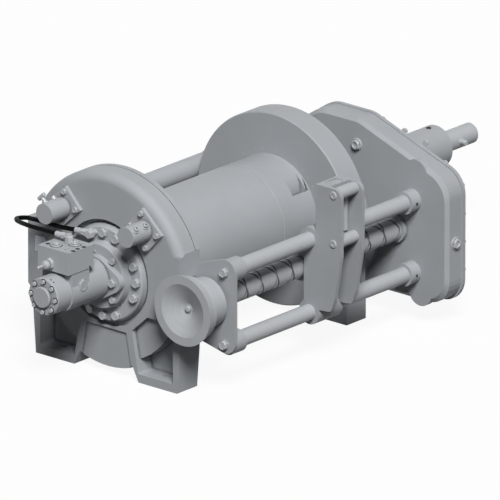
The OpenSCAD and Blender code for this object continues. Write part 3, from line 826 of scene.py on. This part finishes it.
class WINCH_OT_rod_bolts(bpy.types.Operator):
    """Bolts in the rod ends and set screws of the case collars"""

    bl_idname = "winch.rod_bolts"
    bl_label = "Rod bolts"

    def execute(self, context):
        sizes = context.scene.winch_bolts
        screw_x = high("upper_case_collar")[0] - COLLAR_SCREW_BACK
        screw_y = low("upper_case_collar")[1] + SUNK
        spots = []
        screws = []
        for node in ("upper_guide_rod", "lower_guide_rod"):
            middle = (low(node) + high(node)) / 2
            spots.append((low("arm_plate")[0], middle[1], middle[2]))
            screws.append((screw_x, screw_y, middle[2]))
        make_hardware("rod_bolts", placed(hex_bolt(sizes.rod_bolt / MM, 16), spots, TO_MOTOR))
        # The set screws are near black as painted shade of their holes
        make_hardware("collar_screws", placed(socket_screw(5.5, 2), screws, TO_SIDE), material="winch_oxide_and_shade")
        return {"FINISHED"}


DISC_FLOOR_X = -22


class WINCH_OT_disc_bolt(bpy.types.Operator):
    """Bolt in the middle of the hand disc"""

    bl_idname = "winch.disc_bolt"
    bl_label = "Hand disc bolt"

    def execute(self, context):
        screw = JOINTS["screw_spin"]["pos_m"]
        spot = (DISC_FLOOR_X, screw[1] / MM, screw[2] / MM - AXIS_Z)
        bolt = turned_part([(-1, 17), (2.5, 17), (3, 16.5), (3, 11.5), (9, 11.5), (11, 10.5),
                            (12, 8), (12, 4)])
        make_hardware("disc_bolt", placed(bolt, [spot], TO_MOTOR), "screw")
        return {"FINISHED"}


HEAD_RIBS = 11
# The recess in the head block: the width of its rim in x and y, and its depth
HEAD_RIM = np.array([21, 13])
HEAD_DEPTH = 12
RIB_FOOT = 7
RIB_CREST = 3.5
RIB_ROWS = 89
RIB_COLUMNS = 33


class WINCH_OT_head_ribs(bpy.types.Operator):
    """Ribbed insert in the recess on top of the head block"""

    bl_idname = "winch.head_ribs"
    bl_label = "Head ribs"

    def execute(self, context):
        """Surface z = base + foot + crest * |cos(pi * ribs * (x + y) / width)| over the recess.

        x and y run from the recess's corner, and the outermost points lie on its floor, z = base."""
        corner = low("fairlead_head") + [*HEAD_RIM, 0]
        size = (high("fairlead_head") - low("fairlead_head"))[:2] - 2 * HEAD_RIM
        s, t = np.meshgrid(np.linspace(0, 1, RIB_ROWS), np.linspace(0, 1, RIB_COLUMNS), indexing="ij")
        lift = RIB_FOOT + RIB_CREST * np.abs(np.cos(np.pi * HEAD_RIBS * (s + t * size[1] / size[0])))
        edge = (s == 0) | (s == 1) | (t == 0) | (t == 1)
        lift = np.where(edge, 0, lift)
        base = high("fairlead_head")[2] - HEAD_DEPTH
        points = np.stack([corner[0] + s * size[0], corner[1] + t * size[1], base + lift], axis=-1)
        index = np.arange(RIB_ROWS * RIB_COLUMNS).reshape(RIB_ROWS, RIB_COLUMNS)
        quads = np.stack([index[:-1, :-1], index[1:, :-1], index[1:, 1:], index[:-1, 1:]], axis=-1)
        rim = np.concatenate([index[:0:-1, 0], index[0, :-1], index[:-1, -1], index[-1, :0:-1]])
        faces = quads.reshape(-1, 4).tolist() + [rim.tolist()]
        make_piece("head_ribs", (points.reshape(-1, 3), faces), "winch_paint", "carriage")
        return {"FINISHED"}


FLANGE_SCREW_COUNT = 42
FLANGE_SCREW_CIRCLE = 225


class WINCH_OT_flange_screws(bpy.types.Operator):
    """Ring of cap screws on the gear-end flange of the drum"""

    bl_idname = "winch.flange_screws"
    bl_label = "Flange screws"

    def execute(self, context):
        angles = np.arange(FLANGE_SCREW_COUNT) * 360 / FLANGE_SCREW_COUNT
        spots = circle_spots(low("gear_end_flange")[0], FLANGE_SCREW_CIRCLE, angles)
        make_hardware("flange_screws", placed(socket_screw(3, 0.8), spots, TO_MOTOR), "drum", "winch_steel")
        return {"FINISHED"}


# Corners (y, z, radius) of the chain case, and the ring of bolts inside its edge
CASE_OUTLINE = [(-228, 345, 110), (-451, 265, 90), (-655, 195, 100), (-655, -290, 95), (130, -290, 90),
                (235, -120, 120), (235, 60, 90), (190, 190, 90), (-40, 345, 120)]
COVER_BOLT_INSET = 16
COVER_BOLT_COUNT = 24
# Plugs of the case: (y, z) on its front, (x, z) on its side and (x, y) below it
FILL_PLUG_SPOT = (-224, 243)
LEVEL_PLUG_SPOT = (1158, -48)
DRAIN_PLUG_SPOT = (1150, -300)
DRAIN_PLUG_SUNK = 6


class WINCH_OT_case_bolts(bpy.types.Operator):
    """Cover bolts and plugs of the chain case"""

    bl_idname = "winch.case_bolts"
    bl_label = "Chain case bolts"

    def execute(self, context):
        sizes = context.scene.winch_bolts
        around = rounded_outline(CASE_OUTLINE, COVER_BOLT_INSET, COVER_BOLT_COUNT)
        spots = np.column_stack([np.full(len(around), high("case_cover")[0]), around])
        make_hardware("cover_bolts", placed(hex_bolt(sizes.cover_bolt / MM, 9), spots, TO_CASE))
        fill = (high("ring_housing")[0], *FILL_PLUG_SPOT)
        level = (LEVEL_PLUG_SPOT[0], low("gear_case")[1] + SUNK, LEVEL_PLUG_SPOT[1])
        drain = (*DRAIN_PLUG_SPOT, low("case_cover")[2] + DRAIN_PLUG_SUNK)
        make_hardware("case_plugs", joined(placed(hex_plug(34, 15), [fill], TO_MOTOR),
                                           placed(hex_plug(34, 14), [level], TO_SIDE),
                                           placed(hex_plug(24, 10), [drain], DOWNWARD)))
        return {"FINISHED"}


# Places on the shaft tube and the shaft, counted from the tube's end
TUBE_PLUG_BACK = 42
TUBE_PLUG_Z = 78
SHAFT_PIN_AHEAD = 96
SHAFT_PIN_Y = -37.5


class WINCH_OT_shaft_screws(bpy.types.Operator):
    """Grease plug on the shaft tube and the screw in the shaft end"""

    bl_idname = "winch.shaft_screws"
    bl_label = "Shaft screws"

    def execute(self, context):
        tube_end = high("shaft_tube")[0]
        plug = placed(socket_screw(10, 4), [(tube_end - TUBE_PLUG_BACK, 0, TUBE_PLUG_Z)], UPWARD)
        make_hardware("tube_plug", plug, material="winch_oxide_and_shade")
        pin = turned_part([(-4, 12), (2, 12), (3, 10), (24, 10), (26, 8.5)])
        spot = (tube_end + SHAFT_PIN_AHEAD, SHAFT_PIN_Y, 0)
        make_hardware("shaft_pin", placed(pin, [spot], TO_SIDE), "drum")
        return {"FINISHED"}


class WINCH_OT_carriage_bolts(bpy.types.Operator):
    """Axle caps of the two horizontal rollers"""

    bl_idname = "winch.carriage_bolts"
    bl_label = "Axle caps"

    def execute(self, context):
        near = low("near_fairlead_plate")[0]
        far = high("far_fairlead_plate")[0]
        cap = turned_part([(0, 15), (3, 15), (4.5, 13), (4.5, 6), (3, 5)])
        caps = []
        for name in ("top_roller_spin", "lower_roller_spin"):
            place = JOINTS[name]["pos_m"]
            y = place[1] / MM
            z = place[2] / MM - AXIS_Z
            caps += [placed(cap, [(near, y, z)], TO_MOTOR), placed(cap, [(far, y, z)], TO_CASE)]
        make_hardware("axle_caps", joined(*caps), "carriage")
        return {"FINISHED"}


PLATE_SPOT = (0, 311, 36.5)
PLATE_WIDTH = 52
PLATE_HEIGHT = 61
PLATE_THICK = 1.5
PLATE_CORNER = 3
# Near-black border under the plate, painted as the shade round its edge: its thickness and how far it stands out
SHADE_BORDER_THICK = 0.4
SHADE_BORDER_EDGE = 1.5
RIVET_Y = 23
RIVET_Z = 26


class WINCH_OT_web_plate(bpy.types.Operator):
    """Small bare plate with its rivets on the web of the motor-end frame, over a near-black border painted as the
    shade round its edge
    """

    bl_idname = "winch.web_plate"
    bl_label = "Web plate"

    def execute(self, context):
        plate = plate_shape(PLATE_WIDTH, PLATE_HEIGHT, PLATE_THICK, PLATE_CORNER)
        rivet = turned_part([(0, 2.6), (0.6, 2.5), (1.2, 1.8), (1.5, 0.8)], 16)
        corners = [(-PLATE_THICK, PLATE_SPOT[1] + RIVET_Y * a, PLATE_SPOT[2] + RIVET_Z * b)
                   for a in (-1, 1) for b in (-1, 1)]
        surface = joined(placed(plate, [PLATE_SPOT], TO_MOTOR), placed(rivet, corners, TO_MOTOR))
        make_hardware("web_plate", surface, material="winch_bright")
        # Painted shade: a near-black border just wider than the plate
        shade_border = plate_shape(PLATE_WIDTH + 2 * SHADE_BORDER_EDGE, PLATE_HEIGHT + 2 * SHADE_BORDER_EDGE,
                           SHADE_BORDER_THICK, PLATE_CORNER)
        make_hardware("web_plate_shade_border", placed(shade_border, [PLATE_SPOT], TO_MOTOR), material="winch_oxide_and_shade")
        return {"FINISHED"}


# Stage

FLOOR_SIZE = 60
FLOOR_Z = -0.0005
# The floor's colour for rays that only carry light and for rays that are seen, and its share of white
FLOOR_LIT = (0.08, 0.08, 0.08)
FLOOR_SEEN = (0.8, 0.8, 0.8)
FLOOR_GLOW = 0.92
WORLD_LIGHT = 0.06
# Direction, energy and spread in degrees of each sun
KEY_LIGHT = ((0.476, 0.504, -0.721), 4.05, 20)
BACK_LIGHT = ((-0.66, -0.75, -0.04), 1.2, 40)
# Point that the camera looks at, in millimetres behind the frame's face and below the drum axis
TARGET_X = 785
TARGET_DROP = 124
SENSOR_WIDTH = 36


def seen_by_eye(tree):
    """1 for camera, mirror and see-through rays, and 0 for the rays that only carry light."""
    path = tree.nodes.new("ShaderNodeLightPath")
    seen = math_node(tree, "ADD", path.outputs["Is Camera Ray"], path.outputs["Is Glossy Ray"])
    return math_node(tree, "MINIMUM", math_node(tree, "ADD", seen, path.outputs["Is Transmission Ray"]), 1.0)


def build_floor(name):
    """Pale floor that the camera sees as white and that still takes the winch's soft shadow."""
    material = bpy.data.materials.new(name)
    material.use_nodes = True
    tree = material.node_tree
    shader = tree.nodes["Principled BSDF"]
    shader.inputs["Roughness"].default_value = 0.9
    shader.inputs["Specular IOR Level"].default_value = 0.0
    glow = tree.nodes.new("ShaderNodeEmission")
    mix = tree.nodes.new("ShaderNodeMixShader")
    seen = seen_by_eye(tree)
    tree.links.new(mixed(tree, seen, FLOOR_LIT, FLOOR_SEEN), shader.inputs["Base Color"])
    tree.links.new(math_node(tree, "MULTIPLY", seen, FLOOR_GLOW), mix.inputs[0])
    tree.links.new(shader.outputs[0], mix.inputs[1])
    tree.links.new(glow.outputs[0], mix.inputs[2])
    tree.links.new(mix.outputs[0], tree.nodes["Material Output"].inputs["Surface"])
    return material


def build_world(strength):
    """World that lights evenly and shows white to the camera and to mirrors."""
    world = bpy.data.worlds.new("winch_world")
    world.use_nodes = True
    tree = world.node_tree
    light = tree.nodes["Background"]
    light.inputs["Color"].default_value = (1, 1, 1, 1)
    light.inputs["Strength"].default_value = strength
    white = tree.nodes.new("ShaderNodeBackground")
    white.inputs["Color"].default_value = (1, 1, 1, 1)
    white.inputs["Strength"].default_value = 1.0
    mix = tree.nodes.new("ShaderNodeMixShader")
    tree.links.new(seen_by_eye(tree), mix.inputs[0])
    tree.links.new(light.outputs[0], mix.inputs[1])
    tree.links.new(white.outputs[0], mix.inputs[2])
    tree.links.new(mix.outputs[0], tree.nodes["World Output"].inputs["Surface"])
    bpy.context.scene.world = world


def add_sun(name, direction, energy, spread, glint=True):
    """Sun lamp whose light travels along a direction, with or without its glint on smooth surfaces."""
    lamp = bpy.data.lights.new(name, "SUN")
    lamp.energy = energy
    lamp.angle = radians(spread)
    sun = bpy.data.objects.new(name, lamp)
    sun.rotation_euler = Vector(direction).to_track_quat("-Z", "Y").to_euler()
    sun.visible_glossy = glint
    bpy.context.scene.collection.objects.link(sun)


class WINCH_OT_stage(bpy.types.Operator):
    """Floor, light and camera"""

    bl_idname = "winch.stage"
    bl_label = "Stage"

    def execute(self, context):
        settings = context.scene.winch_stage
        scene = context.scene
        bpy.ops.mesh.primitive_plane_add(size=FLOOR_SIZE, location=(0, 0, FLOOR_Z))
        floor = context.active_object
        floor.name = "stage_floor"
        floor.data.materials.append(build_floor("stage_floor"))
        build_world(WORLD_LIGHT)
        add_sun("key_light", *KEY_LIGHT)
        add_sun("back_light", *BACK_LIGHT, glint=False)
        azimuth = settings.azimuth
        elevation = settings.elevation
        back = Vector((sin(azimuth) * cos(elevation), -cos(azimuth) * cos(elevation), sin(elevation)))
        target = Vector(((TARGET_X + FRONT_X) * MM, 0, (AXIS_Z - TARGET_DROP) * MM))
        lens = bpy.data.cameras.new("camera")
        lens.sensor_width = SENSOR_WIDTH
        lens.lens = SENSOR_WIDTH * settings.distance / settings.width
        lens.clip_end = 1000
        camera = bpy.data.objects.new("camera", lens)
        camera.location = target + back * settings.distance
        camera.rotation_euler = (-back).to_track_quat("-Z", "Y").to_euler()
        scene.collection.objects.link(camera)
        scene.camera = camera
        scene.view_settings.view_transform = "Standard"
        return {"FINISHED"}


STEPS = (
    WINCH_OT_stage,
    WINCH_OT_finishes,
    WINCH_OT_brake_hose,
    WINCH_OT_brake_bolts,
    WINCH_OT_motor_fittings,
    WINCH_OT_release_fittings,
    WINCH_OT_rod_bolts,
    WINCH_OT_disc_bolt,
    WINCH_OT_flange_screws,
    WINCH_OT_case_bolts,
    WINCH_OT_shaft_screws,
    WINCH_OT_carriage_bolts,
    WINCH_OT_web_plate,
    WINCH_OT_head_ribs,
)


class WINCH_PT_panel(bpy.types.Panel):
    """Sidebar panel with the settings and the steps"""

    bl_idname = "WINCH_PT_panel"
    bl_label = "Planetary winch"
    bl_space_type = "VIEW_3D"
    bl_region_type = "UI"
    bl_category = "Winch"

    def draw(self, context):
        for name, group in PROPERTY_GROUPS.items():
            settings = getattr(context.scene, name)
            for field in group.__annotations__:
                self.layout.prop(settings, field)
        for step in STEPS:
            self.layout.operator(step.bl_idname)


def register():
    for name, group in PROPERTY_GROUPS.items():
        bpy.utils.register_class(group)
        setattr(bpy.types.Scene, name, bpy.props.PointerProperty(type=group))
    for step in STEPS:
        bpy.utils.register_class(step)
    bpy.utils.register_class(WINCH_PT_panel)


def unregister():
    bpy.utils.unregister_class(WINCH_PT_panel)
    for step in reversed(STEPS):
        bpy.utils.unregister_class(step)
    for name, group in PROPERTY_GROUPS.items():
        delattr(bpy.types.Scene, name)
        bpy.utils.unregister_class(group)


def main():
    """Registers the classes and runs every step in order."""
    register()
    for step in STEPS:
        section, action = step.bl_idname.split(".")
        getattr(getattr(bpy.ops, section), action)()


if __name__ == "__main__":
    main()
